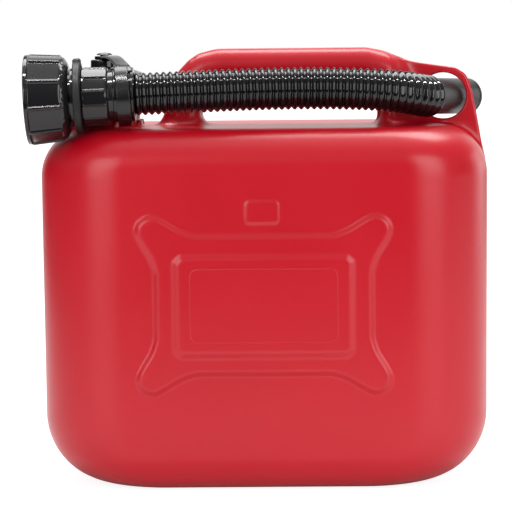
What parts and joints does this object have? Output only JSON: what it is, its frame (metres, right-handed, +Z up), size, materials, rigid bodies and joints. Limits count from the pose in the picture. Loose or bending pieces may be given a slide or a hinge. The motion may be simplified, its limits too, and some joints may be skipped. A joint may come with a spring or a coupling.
{
  "type": "jerry can",
  "caption": "Small plastic fuel can with moulded carry handle, child-resistant screw cap, tether and a flexible corrugated pouring spout stowed through an eyelet.",
  "frame": {"origin": "centre of the tank's footprint, on the plane the can stands on", "axes": "+Z up; +X towards the end where the nozzle is stowed; -Y is the face the spout is stowed against"},
  "size_m": [0.2613, 0.1376, 0.2475],
  "materials": {
    "red_hdpe": "satin blow-moulded polyethylene with a fine texture",
    "black_gloss": "moulded polypropylene, semi-gloss",
    "black_hose": "flexible corrugated polyethylene, semi-gloss",
    "black_matte": "moulded plastic, matte",
    "soft_black": "soft flexible plastic, dull",
    "seal": "nitrile rubber, dull"
  },
  "bodies": {
    "can": {"tank": "red_hdpe", "spout_adapter": "black_gloss", "nut_gasket": "seal", "strainer": "black_matte", "hose_collar": "black_gloss", "hose": "black_hose"},
    "tether": {"tether_strap": "soft_black"},
    "cap": {"cap_insert": "black_matte", "cap_seal": "seal"},
    "cap_outer": {"cap_shell": "black_gloss", "tether_stud": "black_gloss"},
    "nozzle": {"nozzle": "black_gloss"},
    "nut": {"spout_nut": "black_gloss"},
    "disc": {"stop_disc": "black_matte"}
  },
  "joints": [
    {"name": "cap_rise", "type": "slide", "parent": "can", "child": "tether", "axis": [0, 0, 1], "range_m": [0, 0.008], "deforming": ["tether_strap"]},
    {"name": "cap_turn", "type": "hinge", "parent": "tether", "child": "cap", "pos_m": [-0.0917, 0, 0.22], "axis": [0, 0, 1], "range_deg": [0, 720]},
    {"name": "cap_press", "type": "slide", "parent": "cap", "child": "cap_outer", "axis": [0, 0, -1], "range_m": [0, 0.0006]},
    {"name": "nozzle_withdraw", "type": "slide", "parent": "can", "child": "nozzle", "axis": [-0.4996, -0.8653, 0.04], "range_m": [0, 0.038], "deforming": ["hose"]},
    {"name": "nut_spin", "type": "hinge", "parent": "can", "child": "nut", "pos_m": [-0.12061, -0.044, 0.2215], "axis": [0.9991, 0, 0.0415], "continuous": true},
    {"name": "disc_spin", "type": "hinge", "parent": "can", "child": "disc", "pos_m": [-0.10363, -0.044, 0.2222], "axis": [0.9991, 0, 0.0415], "range_deg": [-25, 145]}
  ],
  "couplings": [
    {"joint": "cap_rise", "follows": "cap_turn", "m_per_rad": 0.00063662}
  ]
}
